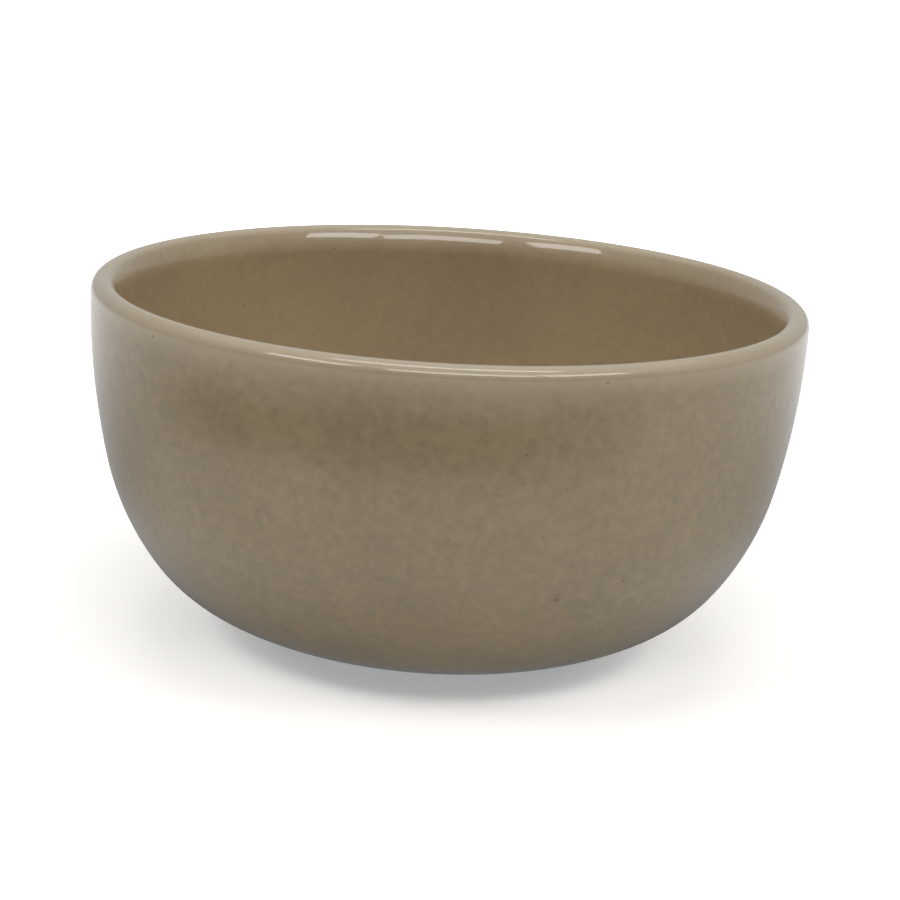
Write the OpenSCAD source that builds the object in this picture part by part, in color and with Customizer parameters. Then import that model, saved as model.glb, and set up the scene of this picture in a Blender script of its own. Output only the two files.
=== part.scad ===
// Prep bowl: a round stoneware bowl with a glassy glaze over all but its foot ring.
// Millimetres, +Z up, origin at the centre of the resting plane.

/* [Bowl] */
// Diameter across the outside of the rim
rim_d = 152; // [140:1:168]
// Height from the resting plane to the top of the lip
height = 76; // [70:1:84]
// Thickness of the glazed wall, which is also the thickness of the rounded lip
wall_t = 5.2; // [4:0.1:6.4]

/* [Outline] */
// Radius of the belly, where the wall turns inwards
belly_r = 57; // [50:1:64]
// Radius of the heel, where the belly rolls under
heel_r = 33; // [28:1:38]
// Diameter of the flat in the middle of the floor
floor_d = 52; // [44:1:56]
// Slope at which the upper wall meets the belly, in degrees from upright
wall_turn = 13; // [11:0.5:15]
// Slope at which the belly meets the heel
belly_turn = 36; // [32:1:40]
// Slope at which the heel meets the underside
heel_turn = 60; // [56:1:64]

/* [Foot ring] */
// Outer diameter of the foot ring
foot_d = 61; // [60:1:66]
// Width of the foot ring
foot_w = 4.5; // [3:0.1:6]
// Height of the glazed underside above the resting plane
foot_h = 1.3; // [1:0.1:2.5]
// Bevel on both bottom edges of the foot ring
foot_bevel = 0.5; // [0.3:0.1:0.8]
// Height of the bare clay ceiling of the well above the resting plane
well_h = 2.2; // [1.8:0.1:3]

/* [Glaze] */
// Thickness of the fired glaze
glaze_t = 0.4; // [0.3:0.05:0.6]
// Bare clay left outside the foot ring, where the glaze was wiped away
wiped_w = 1.5; // [0.5:0.1:3]
// Bare clay left between the foot ring and the glaze in the well
well_wiped_w = 1; // [0.5:0.1:3]

/* [Hidden] */

// Facets round the bowl, and how far a chord of the outline may lie inside its arc
$fn = 240;
arc_sag = 0.02;

// Outer radius of the rim, radius of the rounded lip, and radii of floor, foot ring and well
rim_r = rim_d / 2;
lip_r = wall_t / 2;
floor_r = floor_d / 2;
foot_r = foot_d / 2;
well_r = foot_r - foot_w;

// Slopes of the outline in degrees from upright: at the lip, and where it lies level
lip_turn = 0;
level_turn = 90;

// How far an arc comes inwards and how far it drops between two slopes
function arc_run(radius, from, to) = radius * (cos(from) - cos(to));
function arc_drop(radius, from, to) = radius * (sin(to) - sin(from));

// What belly and heel leave for the upper wall and the underside to cover
rest_run = rim_r - floor_r - arc_run(belly_r, wall_turn, belly_turn) - arc_run(heel_r, belly_turn, heel_turn);
rest_drop = height - lip_r - foot_h
    - arc_drop(belly_r, wall_turn, belly_turn) - arc_drop(heel_r, belly_turn, heel_turn);

// Run and drop of the upper wall and of the underside, as shares of their radii
upper_run_share = arc_run(1, lip_turn, wall_turn);
upper_drop_share = arc_drop(1, lip_turn, wall_turn);
under_run_share = arc_run(1, heel_turn, level_turn);
under_drop_share = arc_drop(1, heel_turn, level_turn);

// Radii of these two arcs, with which the outline meets the rim, the height and the floor
mix_share = upper_drop_share * under_run_share - under_drop_share * upper_run_share;
upper_r = (rest_drop * under_run_share - rest_run * under_drop_share) / mix_share;
under_r = (rest_run * upper_drop_share - rest_drop * upper_run_share) / mix_share;

// Direction from an arc's centre to its point of a given slope
function along(slope) = [cos(slope), -sin(slope)];

// Arcs from the lip down: radii, slopes at their ends, and centres, each in line with the joint above it
arc_radii = [upper_r, belly_r, heel_r, under_r];
arc_slopes = [lip_turn, wall_turn, belly_turn, heel_turn, level_turn];
lip_c = [rim_r - lip_r, height - lip_r];
upper_c = [rim_r - upper_r, height - lip_r];
belly_c = upper_c + (upper_r - belly_r) * along(wall_turn);
heel_c = belly_c + (belly_r - heel_r) * along(belly_turn);
under_c = heel_c + (heel_r - under_r) * along(heel_turn);
arc_centres = [upper_c, belly_c, heel_c, under_c];
under_arc = len(arc_radii) - 1;

// Slopes on the underside at which the glaze stops and at which the clay meets the foot ring
glaze_stop = acos((foot_r + wiped_w - floor_r) / under_r);
foot_stop = acos((foot_r - floor_r) / (under_r - glaze_t));

// Number of equal chords for an arc
function chords(radius, from, to) = ceil((to - from) / (2 * acos(1 - arc_sag / radius)));

// Point of the wall's outline on one arc, at a depth below the outer surface
function wall_point(arc, slope, depth) = arc_centres[arc] + (arc_radii[arc] - depth) * along(slope);

// Points of one arc between two slopes, without the first
function arc_line(arc, from, to, depth) =
    let (count = chords(arc_radii[arc], from, to))
    [for (k = [1:count]) wall_point(arc, from + (to - from) * k / count, depth)];

// The wall at a depth, from the lip down to a slope on the underside
function wall_line(last_slope, depth) = [
    wall_point(0, lip_turn, depth),
    for (arc = [0:under_arc])
        each arc_line(arc, arc_slopes[arc], arc == under_arc ? last_slope : arc_slopes[arc + 1], depth)
];

// The rounded lip at a depth, over its two quarters from the outside to the inside, without its ends
function lip_line(depth) =
    let (count = chords(lip_r, lip_turn, level_turn))
    [for (k = [1:2 * count - 1]) lip_c + (lip_r - depth) * along(-level_turn * k / count)];

function reversed(line) = [for (k = [len(line) - 1:-1:0]) line[k]];

// The bowl's skin at a depth: up the outside, over the lip and down to the middle of the floor
function skin_line(depth) = concat(
    reversed(wall_line(glaze_stop, depth)),
    lip_line(depth),
    wall_line(level_turn, wall_t - depth),
    [[0, foot_h + wall_t - depth]]
);

// The well's ceiling and the bevelled foot ring, from the axis outwards
foot_line = [
    [0, well_h],
    [well_r, well_h],
    [well_r, foot_bevel],
    [well_r + foot_bevel, 0],
    [foot_r - foot_bevel, 0],
    [foot_r, foot_bevel]
];

// Fired clay bowl with its foot ring, one glaze thickness inside the glazed outline
module stoneware_body() {
    bare_line = reversed(arc_line(under_arc, glaze_stop, foot_stop, glaze_t));
    color([0.76, 0.66, 0.53])
        rotate_extrude()
            polygon(concat(foot_line, bare_line, skin_line(glaze_t)));
}

// Glaze in one coat, up the outside, over the lip and down across the floor
module glaze_coat() {
    color([0.53, 0.48, 0.39])
        rotate_extrude()
            polygon(concat(skin_line(0), reversed(skin_line(glaze_t))));
}

// Round patch of glaze on the ceiling of the well, cut off from the coat by the wiped foot ring
module foot_well_glaze() {
    color([0.5, 0.45, 0.37])
        translate([0, 0, well_h - glaze_t])
            cylinder(r = well_r - well_wiped_w, h = glaze_t);
}

stoneware_body();
glaze_coat();
foot_well_glaze();
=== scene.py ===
import math

import bmesh
import bpy
from mathutils import Matrix, Vector, noise


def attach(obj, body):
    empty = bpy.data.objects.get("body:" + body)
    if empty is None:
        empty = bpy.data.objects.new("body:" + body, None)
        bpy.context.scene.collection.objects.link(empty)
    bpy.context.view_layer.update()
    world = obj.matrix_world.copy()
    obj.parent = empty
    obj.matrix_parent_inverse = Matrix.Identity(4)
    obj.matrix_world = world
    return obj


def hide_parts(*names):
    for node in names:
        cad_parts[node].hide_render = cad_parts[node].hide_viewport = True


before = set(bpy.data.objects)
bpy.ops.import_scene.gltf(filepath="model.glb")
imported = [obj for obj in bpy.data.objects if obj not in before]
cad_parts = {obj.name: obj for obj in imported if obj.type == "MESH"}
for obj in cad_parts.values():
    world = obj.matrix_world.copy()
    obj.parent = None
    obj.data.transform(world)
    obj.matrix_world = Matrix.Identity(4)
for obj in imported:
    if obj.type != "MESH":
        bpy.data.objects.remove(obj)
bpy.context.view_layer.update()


# The clay bowl: buff stoneware, pressed and turned on a wheel, with a foot ring trimmed while
# the clay was leather hard and sponged smooth. Everything but the foot ring and the strips
# beside it lies under the glaze.
MM = 0.001
WALL = 5.2
GLAZE = 0.4
LIP_CENTRE = 73.4
FLOOR_RADIUS = 26
FLOOR_HEIGHT = 6.5
WELL_RADIUS = 26
WELL_CEILING = 2.2
WELL_FILLET = 0.7
FOOT_RADIUS = 30.5
FOOT_EDGE = 0.5
FOOT_TOP = 1.5
# Slopes of the outline in degrees from upright: where its arcs meet, at the inner lip, and where
# the clay meets the foot ring. A corner turns by a quarter.
WALL_SLOPE, BELLY_SLOPE, HEEL_SLOPE, LEVEL = 13, 36, 60, 90
INNER_SLOPE = -2.0978
FOOT_SLOPE = 84.5
QUARTER = 90
# The wall's arcs from the lip down: centre, slopes at both ends, and strides. Inside, the wall
# thickens a little towards the lip.
OUTER_ARCS = [
    ((-80.348, LIP_CENTRE), 0, WALL_SLOPE, 24),
    ((16.45, 51.05), WALL_SLOPE, BELLY_SLOPE, 18),
    ((35.867, 36.943), BELLY_SLOPE, HEEL_SLOPE, 14),
    ((FLOOR_RADIUS, 54.04), HEEL_SLOPE, LEVEL, 20),
]
INNER_ARCS = [((-46.7194, 65.6362), INNER_SLOPE, WALL_SLOPE, 24)] + OUTER_ARCS[1:]
# The lip's arcs from the outside to the inside: centre, turn and strides
LIP_ARCS = [
    ((LIP_CENTRE, LIP_CENTRE), 150, 26),
    ((81.5406, 68.7), 8, 6),
    ((77.8319, 70.1984), 24.0978, 12),
]
# Strides of a corner and round the bowl, and the share of the strides kept under the glaze
CORNER_STRIDES = 5
TURNS = 288
HIDDEN_WALL, HIDDEN_LIP = 0.7, 0.5
MERGE_REACH = 0.001

CLAY_DARK, CLAY_PALE, GROG_PALE = "#b39c7c", "#c9b596", "#ddccb0"
SAND_GRAIN = 0.9
GROG_SPACING = 0.8
GROG_SHOWING = 0.35
GRIT_HEIGHT = 0.06


def start_line(section, place):
    """The first point of a section line, at a radius and a height."""
    return section.verts.new((place[0] * MM, 0, place[1] * MM))


def last_point(made):
    """The point at which a spin of the section line's tip ended."""
    return next(v for v in made["geom_last"] if isinstance(v, bmesh.types.BMVert))


def straight_on(section, tip, place, strides):
    """Carries the section line straight on to a radius and a height."""
    stride = (Vector((place[0] * MM, 0, place[1] * MM)) - tip.co) / strides
    return last_point(bmesh.ops.spin(
        section, geom=[tip], cent=(0, 0, 0), axis=(0, 1, 0), dvec=stride, angle=0, steps=strides))


def round_on(section, tip, centre, turn, strides):
    """Carries the section line on round a centre by an angle in degrees."""
    return last_point(bmesh.ops.spin(
        section, geom=[tip], cent=(centre[0] * MM, 0, centre[1] * MM), axis=(0, 1, 0),
        angle=math.radians(turn), steps=strides))


def follow_wall(section, tip, arcs, start, end, fineness=1.0):
    """Carries the section line along the wall's arcs from one slope to another, either way."""
    down = end > start
    low, high = min(start, end), max(start, end)
    for centre, first, last, strides in arcs if down else arcs[::-1]:
        turn = min(last, high) - max(first, low)
        count = math.ceil(strides * fineness * turn / (last - first))
        tip = round_on(section, tip, centre, turn if down else -turn, count)
    return tip


def roll_over_lip(section, tip, inwards, fineness=1.0):
    """Carries the section line over the lip, from the outside in or back out."""
    for centre, turn, strides in LIP_ARCS if inwards else LIP_ARCS[::-1]:
        count = round(strides * fineness)
        tip = round_on(section, tip, centre, -turn if inwards else turn, count)
    return tip


def turn_on_wheel(section):
    """Turns a section line into a closed shell round the bowl's axis."""
    bmesh.ops.spin(
        section, geom=section.verts[:] + section.edges[:], cent=(0, 0, 0), axis=(0, 0, 1),
        angle=math.tau, steps=TURNS, use_merge=True)
    bmesh.ops.remove_doubles(section, verts=section.verts, dist=MERGE_REACH * MM)
    bmesh.ops.recalc_face_normals(section, faces=section.faces)
    section.normal_update()
    for face in section.faces:
        face.smooth = True


def make_piece(name, shape, material):
    """Makes an object of a finished shape, with its place in its mesh."""
    mesh = bpy.data.meshes.new(name)
    shape.to_mesh(mesh)
    shape.free()
    mesh.materials.append(material)
    piece = bpy.data.objects.new(name, mesh)
    bpy.context.scene.collection.objects.link(piece)
    return piece


def linear(hex_colour):
    """Linear colour of an sRGB hex value."""
    channels = [int(hex_colour[k:k + 2], 16) / 255 for k in (1, 3, 5)]
    return [c / 12.92 if c <= 0.04045 else ((c + 0.055) / 1.055) ** 2.4 for c in channels] + [1]


# Settings that many nodes share
SMOOTH = {"interpolation_type": "SMOOTHSTEP"}
COLOURS = {"data_type": "RGBA"}
MULTIPLY = {"operation": "MULTIPLY"}


def add_node(tree, kind, options=None, inputs=None):
    """Adds a node with its own options, and with its inputs set or linked."""
    made = tree.nodes.new(kind)
    for name, value in (options or {}).items():
        setattr(made, name, value)
    for name, value in (inputs or {}).items():
        if isinstance(value, bpy.types.NodeSocket):
            tree.links.new(value, made.inputs[name])
        else:
            made.inputs[name].default_value = value
    return made


def new_material(name):
    """An empty material, ready for its nodes."""
    material = bpy.data.materials.new(name)
    material.use_nodes = True
    material.node_tree.nodes.clear()
    return material


# Bare buff stoneware, sponged and fired: dry and matt, a sandy clay with paler grog grains, all
# under a millimetre
bare_clay = new_material("sponged_buff_stoneware")
tree = bare_clay.node_tree
place = add_node(tree, "ShaderNodeTexCoord").outputs["Object"]
sand = add_node(tree, "ShaderNodeTexNoise", {}, {
    "Vector": place, "Scale": 1 / (SAND_GRAIN * MM), "Detail": 3, "Roughness": 0.7}).outputs["Fac"]
tone = add_node(tree, "ShaderNodeMapRange", {}, {
    "Value": sand, "From Min": 0.3, "From Max": 0.7}).outputs["Result"]
clay_colour = add_node(tree, "ShaderNodeMix", COLOURS, {
    "Factor": tone, "A": linear(CLAY_DARK), "B": linear(CLAY_PALE)}).outputs["Result"]
grains = add_node(tree, "ShaderNodeTexVoronoi", {}, {
    "Vector": place, "Scale": 1 / (GROG_SPACING * MM)}).outputs["Distance"]
grog = add_node(tree, "ShaderNodeMapRange", SMOOTH, {
    "Value": grains, "From Min": 0.2, "From Max": 0.45,
    "To Min": 1, "To Max": 0}).outputs["Result"]
grog = add_node(tree, "ShaderNodeMath", MULTIPLY, {0: grog, 1: GROG_SHOWING}).outputs[0]
clay_colour = add_node(tree, "ShaderNodeMix", COLOURS, {
    "Factor": grog, "A": clay_colour, "B": linear(GROG_PALE)}).outputs["Result"]
grit = add_node(tree, "ShaderNodeBump", {}, {
    "Strength": 0.5, "Distance": GRIT_HEIGHT * MM, "Height": sand}).outputs["Normal"]
shader = add_node(tree, "ShaderNodeBsdfPrincipled", {}, {
    "Base Color": clay_colour, "Roughness": 0.86, "Specular IOR Level": 0.3,
    "Normal": grit}).outputs["BSDF"]
add_node(tree, "ShaderNodeOutputMaterial", {}, {"Surface": shader})

# From the middle of the well out to the foot ring, up the outside, over the lip and down inside
clay = bmesh.new()
tip = start_line(clay, (0, WELL_CEILING))
tip = straight_on(clay, tip, (WELL_RADIUS - WELL_FILLET, WELL_CEILING), strides=12)
tip = round_on(
    clay, tip, (WELL_RADIUS - WELL_FILLET, WELL_CEILING - WELL_FILLET), QUARTER, CORNER_STRIDES)
tip = straight_on(clay, tip, (WELL_RADIUS, FOOT_EDGE), strides=2)
tip = round_on(clay, tip, (WELL_RADIUS + FOOT_EDGE, FOOT_EDGE), -QUARTER, CORNER_STRIDES)
tip = straight_on(clay, tip, (FOOT_RADIUS - FOOT_EDGE, 0), strides=14)
tip = round_on(clay, tip, (FOOT_RADIUS - FOOT_EDGE, FOOT_EDGE), -QUARTER, CORNER_STRIDES)
tip = straight_on(clay, tip, (FOOT_RADIUS, FOOT_TOP), strides=2)
under_centre = OUTER_ARCS[-1][0]
under_radius = under_centre[1] - (FLOOR_HEIGHT - WALL) - GLAZE
foot_turn = math.radians(FOOT_SLOPE)
tip = straight_on(clay, tip, (under_centre[0] + under_radius * math.cos(foot_turn),
                              under_centre[1] - under_radius * math.sin(foot_turn)), strides=2)
tip = follow_wall(clay, tip, OUTER_ARCS, FOOT_SLOPE, 0, HIDDEN_WALL)
tip = roll_over_lip(clay, tip, True, HIDDEN_LIP)
tip = follow_wall(clay, tip, INNER_ARCS, INNER_SLOPE, LEVEL, HIDDEN_WALL)
straight_on(clay, tip, (0, FLOOR_HEIGHT - GLAZE), strides=8)
turn_on_wheel(clay)
clay_bowl = make_piece("turned_clay_bowl", clay, bare_clay)
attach(clay_bowl, "root")
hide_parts("stoneware_body")


# The glaze: one coat of a glossy, half opaque greige stoneware glaze, dipped and fired. It covers
# the outside, the lip and the inside, and ends in a rounded, slightly wavy edge where it was
# wiped off beside the foot ring.
RIM_RADIUS = 76
RIM_HEIGHT = 76
LIP_FOOT = 69
GLAZE_SLOPE = 83.47
HIDDEN_SIDE = 0.5
# How far the fired surface lies under its full thickness, and the depth and length of its waves
SHRINKAGE = 0.03
UNDULATION = 0.02
UNDULATION_LENGTH = 18
# The wavy edge: radius and reach of the strip that wanders, how far, and how often round the bowl
EDGE_RADIUS = 32
EDGE_REACH = 3
EDGE_WAVE = 0.25
EDGE_WAVES = 4

OUTSIDE_DARK, OUTSIDE_PALE = "#77694f", "#87775b"
# Inside, a paler and warmer copy of the glaze, as painted light
INSIDE_BRIGHTENED_DARK, INSIDE_BRIGHTENED_PALE = "#907e63", "#9a896b"
# The lip's pale tone is thin glaze, and over the lip's top and inner edge partly a painted
# highlight
LIP_TONE_AND_HIGHLIGHT = "#a99d86"
IRON_BROWN = "#3d3026"
CLOUD_WIDTH = 25
MOTTLE_GRAIN = 2.2
MOTTLE_SHARE = 0.62
LIP_THINNING_AND_HIGHLIGHT = 0.55
DIMPLE_WIDTH = 4
DIMPLE_DEPTH = 0.004
# Fine specks: spacing, share of the places that stay empty, and strength
SPECK_SPACING = 4
SPECK_RARITY = 0.94
SPECK_STRENGTH = 0.4
# Larger iron spots: how much of the width is full and how far it fades, strength, then the place
# and width of each
SPOT_CORE, SPOT_FADE = 0.15, 0.6
SPOT_STRENGTH = 0.55
IRON_SPOTS = [
    ((-57.1, -50.1, 72.8), 0.8), ((-49.3, -56.1, 73.4), 0.7), ((-48.3, -53.2, 74.2), 0.5),
    ((30.1, -69.8, 73.2), 0.7), ((69.0, -30.5, 73.4), 0.7), ((23.7, -64.6, 28.5), 1.2),
    ((23.8, -64.9, 29.5), 0.6), ((-40.7, -62.1, 49.9), 0.7), ((36.5, -59.7, 31.6), 0.7),
    ((-51.8, -38.3, 20.3), 0.8), ((2.1, -72.8, 41.9), 0.6),
]

glaze = new_material("glossy_greige_glaze")
tree = glaze.node_tree
place = add_node(tree, "ShaderNodeTexCoord").outputs["Object"]
# Clouds, where the glaze lies thicker or thinner
clouds = add_node(tree, "ShaderNodeTexNoise", {}, {
    "Vector": place, "Scale": 1 / (CLOUD_WIDTH * MM), "Detail": 2,
    "Roughness": 0.5}).outputs["Fac"]
# The fine mottle of the clay's grains under the glaze, 1 to 2 mm
mottle = add_node(tree, "ShaderNodeTexNoise", {}, {
    "Vector": place, "Scale": 1 / (MOTTLE_GRAIN * MM), "Detail": 3,
    "Roughness": 0.65}).outputs["Fac"]
depth = add_node(tree, "ShaderNodeMix", {"data_type": "FLOAT"}, {
    "Factor": MOTTLE_SHARE, "A": clouds, "B": mottle}).outputs["Result"]
tone = add_node(tree, "ShaderNodeMapRange", {}, {
    "Value": depth, "From Min": 0.35, "From Max": 0.65}).outputs["Result"]
outside_colour = add_node(tree, "ShaderNodeMix", COLOURS, {
    "Factor": tone, "A": linear(OUTSIDE_DARK), "B": linear(OUTSIDE_PALE)}).outputs["Result"]
# Inside, the glaze is a little paler and warmer than outside: painted light, which brightens the
# inside
inside_brightened_colour = add_node(tree, "ShaderNodeMix", COLOURS, {
    "Factor": tone, "A": linear(INSIDE_BRIGHTENED_DARK), "B": linear(INSIDE_BRIGHTENED_PALE)}).outputs["Result"]
inside_share = add_node(tree, "ShaderNodeAttribute", {"attribute_name": "inside"}).outputs["Fac"]
glaze_colour = add_node(tree, "ShaderNodeMix", COLOURS, {
    "Factor": inside_share, "A": outside_colour, "B": inside_brightened_colour}).outputs["Result"]
# The glaze runs thin over the lip, above all on its outer side, where the pale clay shows through.
# Over the lip's top and onto its inner edge, the pale tone is also a painted highlight
height = add_node(tree, "ShaderNodeSeparateXYZ", {}, {"Vector": place}).outputs["Z"]
thin_glaze_and_highlight = add_node(tree, "ShaderNodeMapRange", SMOOTH, {
    "Value": height, "From Min": LIP_FOOT * MM, "From Max": RIM_HEIGHT * MM,
    "To Max": LIP_THINNING_AND_HIGHLIGHT}).outputs["Result"]
outer_side = add_node(tree, "ShaderNodeMapRange", SMOOTH, {
    "Value": inside_share, "From Min": 0.7, "To Min": 1, "To Max": 0.1}).outputs["Result"]
thin_glaze_and_highlight = add_node(tree, "ShaderNodeMath", MULTIPLY, {0: thin_glaze_and_highlight, 1: outer_side}).outputs[0]
glaze_colour = add_node(tree, "ShaderNodeMix", COLOURS, {
    "Factor": thin_glaze_and_highlight, "A": glaze_colour, "B": linear(LIP_TONE_AND_HIGHLIGHT)}).outputs["Result"]
# Iron spots as the clay's grit leaves them: a few that are nearly a millimetre wide, each at its
# place on the bowl, and fine ones far apart
spots = 0
for spot, width in IRON_SPOTS:
    away = add_node(tree, "ShaderNodeVectorMath", {"operation": "DISTANCE"}, {
        0: place, 1: Vector(spot) * MM}).outputs["Value"]
    mark = add_node(tree, "ShaderNodeMapRange", SMOOTH, {
        "Value": away, "From Min": SPOT_CORE * width * MM, "From Max": SPOT_FADE * width * MM,
        "To Min": SPOT_STRENGTH, "To Max": 0}).outputs["Result"]
    spots = add_node(
        tree, "ShaderNodeMath", {"operation": "MAXIMUM"}, {0: spots, 1: mark}).outputs[0]
cells = add_node(tree, "ShaderNodeTexVoronoi", {}, {
    "Vector": place, "Scale": 1 / (SPECK_SPACING * MM)}).outputs
draw = add_node(tree, "ShaderNodeSeparateColor", {}, {"Color": cells["Color"]}).outputs["Red"]
chosen = add_node(tree, "ShaderNodeMath", {"operation": "GREATER_THAN"}, {
    0: draw, 1: SPECK_RARITY}).outputs[0]
specks = add_node(tree, "ShaderNodeMapRange", SMOOTH, {
    "Value": cells["Distance"], "From Min": 0.04, "From Max": 0.1,
    "To Min": SPECK_STRENGTH, "To Max": 0}).outputs["Result"]
specks = add_node(tree, "ShaderNodeMath", MULTIPLY, {0: specks, 1: chosen}).outputs[0]
iron = add_node(tree, "ShaderNodeMath", {"operation": "MAXIMUM"}, {
    0: specks, 1: spots}).outputs[0]
glaze_colour = add_node(tree, "ShaderNodeMix", COLOURS, {
    "Factor": iron, "A": glaze_colour, "B": linear(IRON_BROWN)}).outputs["Result"]
# The fired surface is not quite level: faint dimples 3 to 5 mm across
dimples = add_node(tree, "ShaderNodeTexNoise", {}, {
    "Vector": place, "Scale": 1 / (DIMPLE_WIDTH * MM), "Detail": 1}).outputs["Fac"]
dimpled = add_node(tree, "ShaderNodeBump", {}, {
    "Strength": 0.5, "Distance": DIMPLE_DEPTH * MM, "Height": dimples}).outputs["Normal"]
# A soft, half opaque glaze under a clear, glassy top
shader = add_node(tree, "ShaderNodeBsdfPrincipled", {}, {
    "Base Color": glaze_colour, "Roughness": 0.35, "Specular IOR Level": 0.3,
    "Normal": dimpled, "Coat Weight": 0.9, "Coat Roughness": 0.05, "Coat IOR": 1.5,
    "Coat Normal": dimpled}).outputs["BSDF"]
add_node(tree, "ShaderNodeOutputMaterial", {}, {"Surface": shader})

# From the middle of the floor up the inside, over the lip and down the outside, then round the
# edge and back along the clay
coat = bmesh.new()
proud = coat.verts.layers.float.new("proud")
inside = coat.verts.layers.float.new("inside")
tip = start_line(coat, (0, FLOOR_HEIGHT))
tip = straight_on(coat, tip, (FLOOR_RADIUS, FLOOR_HEIGHT), strides=14)
tip = follow_wall(coat, tip, INNER_ARCS, LEVEL, INNER_SLOPE)
inner_side = set(coat.verts)
tip = roll_over_lip(coat, tip, False)
tip = follow_wall(coat, tip, OUTER_ARCS, 0, GLAZE_SLOPE)
open_side = set(coat.verts)
edge_turn = math.radians(GLAZE_SLOPE)
edge_radius = under_radius + GLAZE / 2
tip = round_on(coat, tip, (under_centre[0] + edge_radius * math.cos(edge_turn),
                           under_centre[1] - edge_radius * math.sin(edge_turn)),
               2 * QUARTER, strides=8)
tip = follow_wall(coat, tip, OUTER_ARCS, GLAZE_SLOPE, 0, HIDDEN_SIDE)
tip = roll_over_lip(coat, tip, True, HIDDEN_SIDE)
tip = follow_wall(coat, tip, INNER_ARCS, INNER_SLOPE, LEVEL, HIDDEN_SIDE)
straight_on(coat, tip, (0, FLOOR_HEIGHT - GLAZE), strides=6)
for vert in coat.verts:
    vert[proud] = vert in open_side
    over_lip = min(1, max(0, (RIM_RADIUS * MM - vert.co.x) / (WALL * MM)))
    vert[inside] = over_lip if vert.co.z > LIP_FOOT * MM else vert in inner_side
turn_on_wheel(coat)
# The fired surface lies a little below its full thickness in faint waves, and the edge wanders
for vert in coat.verts:
    swell = 0.5 + 0.5 * noise.noise(vert.co / (UNDULATION_LENGTH * MM))
    if vert[proud]:
        vert.co -= vert.normal * ((SHRINKAGE + UNDULATION * swell) * MM)
    radius = math.hypot(vert.co.x, vert.co.y)
    past_edge = (radius - EDGE_RADIUS * MM) / (EDGE_REACH * MM)
    near_edge = max(0, 1 - past_edge) if vert.co.z < EDGE_REACH * MM else 0
    outward = Vector((vert.co.x, vert.co.y, 0)) * (1 / radius if radius else 0)
    wander = 0.5 + 0.5 * noise.noise(outward * EDGE_WAVES)
    vert.co += outward * (EDGE_WAVE * MM * near_edge * wander)
glaze_skin = make_piece("fired_glaze_skin", coat, glaze)
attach(glaze_skin, "root")
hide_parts("glaze_coat")


# The glaze in the well: a round patch of the same glaze on the clay inside the foot ring, cut off
# from the coat when the ring was wiped. It has drawn up into a soft, rounded edge.
PATCH_RADIUS = 25
PATCH_EDGE_SHARE = 0.2
PATCH_WAVE = 0.5
PATCH_WAVES = 3
PATCH_OFFSET = Vector((7, 0, 0))

well = bmesh.new()
tip = start_line(well, (0, WELL_CEILING - GLAZE))
tip = straight_on(well, tip, (PATCH_RADIUS - GLAZE, WELL_CEILING - GLAZE), strides=16)
tip = round_on(well, tip, (PATCH_RADIUS - GLAZE, WELL_CEILING), -QUARTER, strides=6)
straight_on(well, tip, (0, WELL_CEILING), strides=6)
turn_on_wheel(well)
for vert in well.verts:
    radius = math.hypot(vert.co.x, vert.co.y)
    outward = Vector((vert.co.x, vert.co.y, 0)) * (1 / radius if radius else 0)
    wander = 0.5 + 0.5 * noise.noise(outward * PATCH_WAVES + PATCH_OFFSET)
    into_edge = radius / (PATCH_RADIUS * MM) - (1 - PATCH_EDGE_SHARE)
    vert.co -= outward * (PATCH_WAVE * MM * max(0, into_edge) / PATCH_EDGE_SHARE * wander)
    if vert.co.z < (WELL_CEILING - GLAZE / 2) * MM:
        swell = 0.5 + 0.5 * noise.noise(vert.co / (UNDULATION_LENGTH * MM))
        vert.co.z += UNDULATION * MM * swell
well_patch = make_piece("foot_well_glaze_patch", well, glaze)
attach(well_patch, "root")
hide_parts("foot_well_glaze")


# The table: one wide, plain sheet of matt off-white board, laid flat, on which the bowl stands.
# The camera sees it as white but for the bowl's soft shadow, which a painted shade deepens near
# the foot. What the glaze mirrors of it is a painted reflection: dark round the foot as a painted
# shadow, dimmer behind the bowl, and with a dim band across the front.
FLOOR_SIZE = 8
FLOOR_COLOUR = "#f2efea"
DAYLIGHT = (0.96, 0.98, 1, 1)
WHITE = (1, 1, 1, 1)
# Levels and where they run from one to the other, in metres from the bowl's axis: the white lift,
# lower near the bowl as painted shade, the painted shadow round the foot, both sides of the
# painted band, and how the painted dark behind the bowl grows weaker
WHITE_LIFT = {"From Min": 0.05, "From Max": 0.5, "To Min": 0.35, "To Max": 1}
PAINTED_FOOT_SHADOW = {"From Min": 0.045, "From Max": 0.095, "To Min": 0.27, "To Max": 1}
BAND_NEAR = {"From Min": 0.15, "From Max": 0.2}
BAND_FAR = {"From Min": 0.32, "From Max": 0.23}
BEHIND_WEAKENS = {"From Min": 0.1, "From Max": 0.35, "To Min": 0.65, "To Max": 0.1}
# The same in metres along the band's own direction, and along the camera's
BAND_HEADING = (0.35, 1, 0)
BAND_STRENGTH = {"From Min": -0.04, "From Max": -0.2, "To Min": 0, "To Max": 0.9}
BEHIND_STARTS = {"From Min": -0.12, "From Max": 0.05}

table = bmesh.new()
bmesh.ops.create_grid(table, x_segments=1, y_segments=1, size=FLOOR_SIZE / 2)
floor_finish = new_material("pale_floor")
tree = floor_finish.node_tree
rays = add_node(tree, "ShaderNodeLightPath").outputs
place = add_node(tree, "ShaderNodeTexCoord").outputs["Object"]
ahead = add_node(tree, "ShaderNodeSeparateXYZ", {}, {"Vector": place}).outputs["Y"]
from_bowl = add_node(
    tree, "ShaderNodeVectorMath", {"operation": "LENGTH"}, {0: place}).outputs["Value"]
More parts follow.
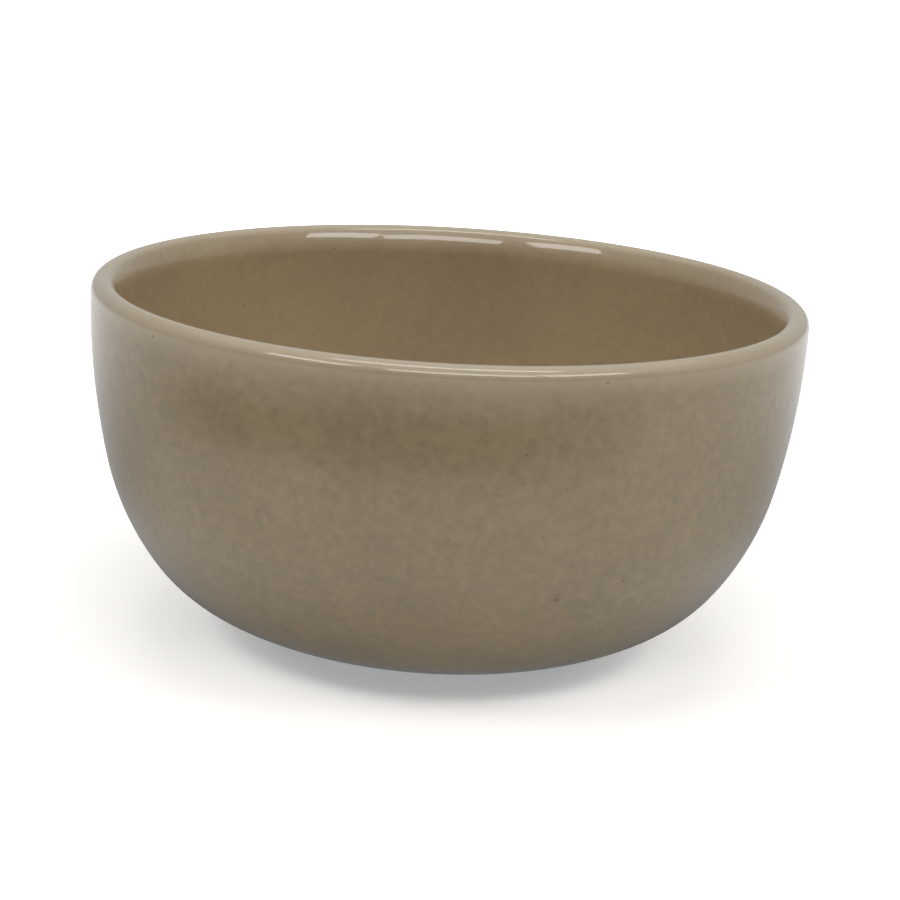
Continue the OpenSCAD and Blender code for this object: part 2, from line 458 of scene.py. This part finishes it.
# Seen directly, it is white but for the soft shadow. Its white lift glows less near the bowl, a
# painted shade that deepens the shadow round it
matt = add_node(tree, "ShaderNodeBsdfDiffuse", {}, {"Color": linear(FLOOR_COLOUR)}).outputs[0]
lift = add_node(tree, "ShaderNodeMapRange", SMOOTH, {
    "Value": from_bowl, **WHITE_LIFT}).outputs["Result"]
glow = add_node(tree, "ShaderNodeEmission", {}, {"Color": DAYLIGHT, "Strength": lift}).outputs[0]
lifted = add_node(tree, "ShaderNodeAddShader", {}, {0: matt, 1: glow}).outputs[0]
seen = add_node(tree, "ShaderNodeMath", {"operation": "ADD", "use_clamp": True}, {
    0: rays["Is Camera Ray"], 1: rays["Is Transmission Ray"]}).outputs[0]
top_side = add_node(tree, "ShaderNodeMixShader", {}, {0: seen, 1: matt, 2: lifted}).outputs[0]
# Mirrored in the glaze, it shows only a painted reflection that glows: dark under the bowl as a
# painted shadow, dimmer behind it, and with a dim band across the front
near_side = add_node(tree, "ShaderNodeMapRange", SMOOTH, {
    "Value": from_bowl, **BAND_NEAR}).outputs["Result"]
far_side = add_node(tree, "ShaderNodeMapRange", SMOOTH, {
    "Value": from_bowl, **BAND_FAR}).outputs["Result"]
facing = add_node(tree, "ShaderNodeVectorMath", {"operation": "DOT_PRODUCT"}, {
    0: place, 1: BAND_HEADING}).outputs["Value"]
painted_band = add_node(tree, "ShaderNodeMapRange", SMOOTH, {
    "Value": facing, **BAND_STRENGTH}).outputs["Result"]
for side in (near_side, far_side):
    painted_band = add_node(tree, "ShaderNodeMath", MULTIPLY, {0: painted_band, 1: side}).outputs[0]
behind = add_node(tree, "ShaderNodeMapRange", SMOOTH, {
    "Value": ahead, **BEHIND_STARTS}).outputs["Result"]
weaker = add_node(tree, "ShaderNodeMapRange", SMOOTH, {
    "Value": from_bowl, **BEHIND_WEAKENS}).outputs["Result"]
behind = add_node(tree, "ShaderNodeMath", MULTIPLY, {0: behind, 1: weaker}).outputs[0]
# The painted shadow round the foot, dimmed further by the painted band and the painted dark behind
level = add_node(tree, "ShaderNodeMapRange", SMOOTH, {
    "Value": from_bowl, **PAINTED_FOOT_SHADOW}).outputs["Result"]
for darkness in (painted_band, behind):
    left_over = add_node(tree, "ShaderNodeMath", {"operation": "SUBTRACT"}, {
        0: 1, 1: darkness}).outputs[0]
    level = add_node(tree, "ShaderNodeMath", MULTIPLY, {0: level, 1: left_over}).outputs[0]
mirrored = add_node(tree, "ShaderNodeEmission", {}, {
    "Color": WHITE, "Strength": level}).outputs[0]
top_side = add_node(tree, "ShaderNodeMixShader", {}, {
    0: rays["Is Glossy Ray"], 1: top_side, 2: mirrored}).outputs[0]
# From below it is clear, so that the foot can be looked at
clear = add_node(tree, "ShaderNodeBsdfTransparent").outputs[0]
below = add_node(tree, "ShaderNodeNewGeometry").outputs["Backfacing"]
one_sided = add_node(tree, "ShaderNodeMixShader", {}, {
    0: below, 1: top_side, 2: clear}).outputs[0]
add_node(tree, "ShaderNodeOutputMaterial", {}, {"Surface": one_sided})
floor = make_piece("floor", table, floor_finish)


# The studio's wall: a round wall that glows grey, dimmer on the camera's side, a painted
# reflection. It stands open at the top, and only the glaze mirrors it.
ROOM_RADIUS, ROOM_HEIGHT = 1.6, 1.6
WALL_LEVELS = {
    "From Min": -ROOM_RADIUS, "From Max": 0.5 * ROOM_RADIUS, "To Min": 0.12, "To Max": 0.5}

wall_finish = new_material("grey_studio_wall")
tree = wall_finish.node_tree
place = add_node(tree, "ShaderNodeTexCoord").outputs["Object"]
ahead = add_node(tree, "ShaderNodeSeparateXYZ", {}, {"Vector": place}).outputs["Y"]
wall_level = add_node(tree, "ShaderNodeMapRange", SMOOTH, {
    "Value": ahead, **WALL_LEVELS}).outputs["Result"]
# The wall's glow: a painted reflection
wall_painted_reflection = add_node(tree, "ShaderNodeEmission", {}, {
    "Color": WHITE, "Strength": wall_level}).outputs[0]
add_node(tree, "ShaderNodeOutputMaterial", {}, {"Surface": wall_painted_reflection})
room_shape = bmesh.new()
bmesh.ops.create_circle(room_shape, segments=64, radius=ROOM_RADIUS)
raised = bmesh.ops.extrude_edge_only(room_shape, edges=room_shape.edges)["geom"]
bmesh.ops.translate(room_shape, vec=(0, 0, ROOM_HEIGHT), verts=[
    v for v in raised if isinstance(v, bmesh.types.BMVert)])
studio_wall = make_piece("studio_wall", room_shape, wall_finish)
studio_wall.visible_camera = studio_wall.visible_diffuse = studio_wall.visible_shadow = False


# The white surroundings beyond the wall, which the camera, the glaze and anything clear see as
# white, and which light the bowl only a little.
ROOM_LIGHT, ROOM_WHITE = 0.1, 1

world = bpy.data.worlds.new("white_room")
world.use_nodes = True
world.node_tree.nodes.clear()
tree = world.node_tree
rays = add_node(tree, "ShaderNodeLightPath").outputs
seen = rays["Is Camera Ray"]
for kind in ("Is Glossy Ray", "Is Transmission Ray"):
    seen = add_node(tree, "ShaderNodeMath", {"operation": "ADD", "use_clamp": True}, {
        0: seen, 1: rays[kind]}).outputs[0]
room_level = add_node(tree, "ShaderNodeMapRange", {}, {
    "Value": seen, "To Min": ROOM_LIGHT, "To Max": ROOM_WHITE}).outputs["Result"]
background = add_node(tree, "ShaderNodeBackground", {}, {
    "Color": WHITE, "Strength": room_level}).outputs[0]
add_node(tree, "ShaderNodeOutputWorld", {}, {"Surface": background})
bpy.context.scene.world = world


# The lamps: a soft panel on each side and behind, three long narrow lamps in front of the bowl
# and one overhead. The narrow ones draw the fine lines on the lip.
LAMP_DISTANCE = 1.1
AIM_HEIGHT = 0.05
PANEL = (0.8, 0.5)
STRIP = 0.2


def add_lamp(name, size, power, azimuth, elevation):
    """A rectangular lamp that faces the bowl. The glaze mirrors only the narrow ones."""
    lamp = bpy.data.lights.new(name, "AREA")
    lamp.shape = "RECTANGLE"
    lamp.size, lamp.size_y = size
    lamp.energy = power
    turn, rise = math.radians(azimuth), math.radians(elevation)
    outward = Vector((
        math.sin(turn) * math.cos(rise), -math.cos(turn) * math.cos(rise), math.sin(rise)))
    holder = bpy.data.objects.new(name, lamp)
    holder.location = Vector((0, 0, AIM_HEIGHT)) + outward * LAMP_DISTANCE
    holder.rotation_mode = "QUATERNION"
    holder.rotation_quaternion = (-outward).to_track_quat("-Z", "Y")
    holder.visible_camera = False
    holder.visible_glossy = min(size) <= STRIP
    bpy.context.scene.collection.objects.link(holder)


add_lamp("left_panel", PANEL, power=4.2, azimuth=-85, elevation=36)
add_lamp("right_panel", PANEL, power=4.8, azimuth=88, elevation=34)
add_lamp("back_panel", PANEL, power=2.4, azimuth=180, elevation=34)
add_lamp("left_strip", (0.47, STRIP), power=1.9, azimuth=-49, elevation=42)
add_lamp("right_strip", (0.47, STRIP), power=1.9, azimuth=49, elevation=42)
add_lamp("front_strip", (0.76, STRIP), power=2.9, azimuth=5, elevation=42)
add_lamp("overhead_strip", (0.77, STRIP), power=2.8, azimuth=0, elevation=88)


# The camera, at the photograph's height and distance, aimed a little down and turned a little
# clockwise. Its elevation is measured from the middle of the rim.
CAMERA_DISTANCE = 0.532
CAMERA_ELEVATION = 11.173
CAMERA_YAW, CAMERA_PITCH, CAMERA_ROLL = 0.187, 14.923, 3.267
LENS = 99.82
SENSOR = 36
NEAREST = 0.01

rise, yaw, pitch, roll = (math.radians(a) for a in (
    CAMERA_ELEVATION, CAMERA_YAW, CAMERA_PITCH, CAMERA_ROLL))
view = bpy.data.cameras.new("camera")
view.lens = LENS
view.sensor_width = SENSOR
view.clip_start = NEAREST
camera = bpy.data.objects.new("camera", view)
bpy.context.scene.collection.objects.link(camera)
sight = Vector((
    math.sin(yaw) * math.cos(pitch), math.cos(yaw) * math.cos(pitch), -math.sin(pitch)))
right = sight.cross(Vector((0, 0, 1))).normalized()
up = right.cross(sight)
across = right * math.cos(roll) + up * math.sin(roll)
upward = up * math.cos(roll) - right * math.sin(roll)
turned = Matrix((across, upward, -sight)).transposed().to_4x4()
turned.translation = (
    0, -CAMERA_DISTANCE * math.cos(rise), RIM_HEIGHT * MM + CAMERA_DISTANCE * math.sin(rise))
camera.matrix_world = turned
bpy.context.scene.camera = camera
bpy.context.scene.view_settings.view_transform = "Standard"
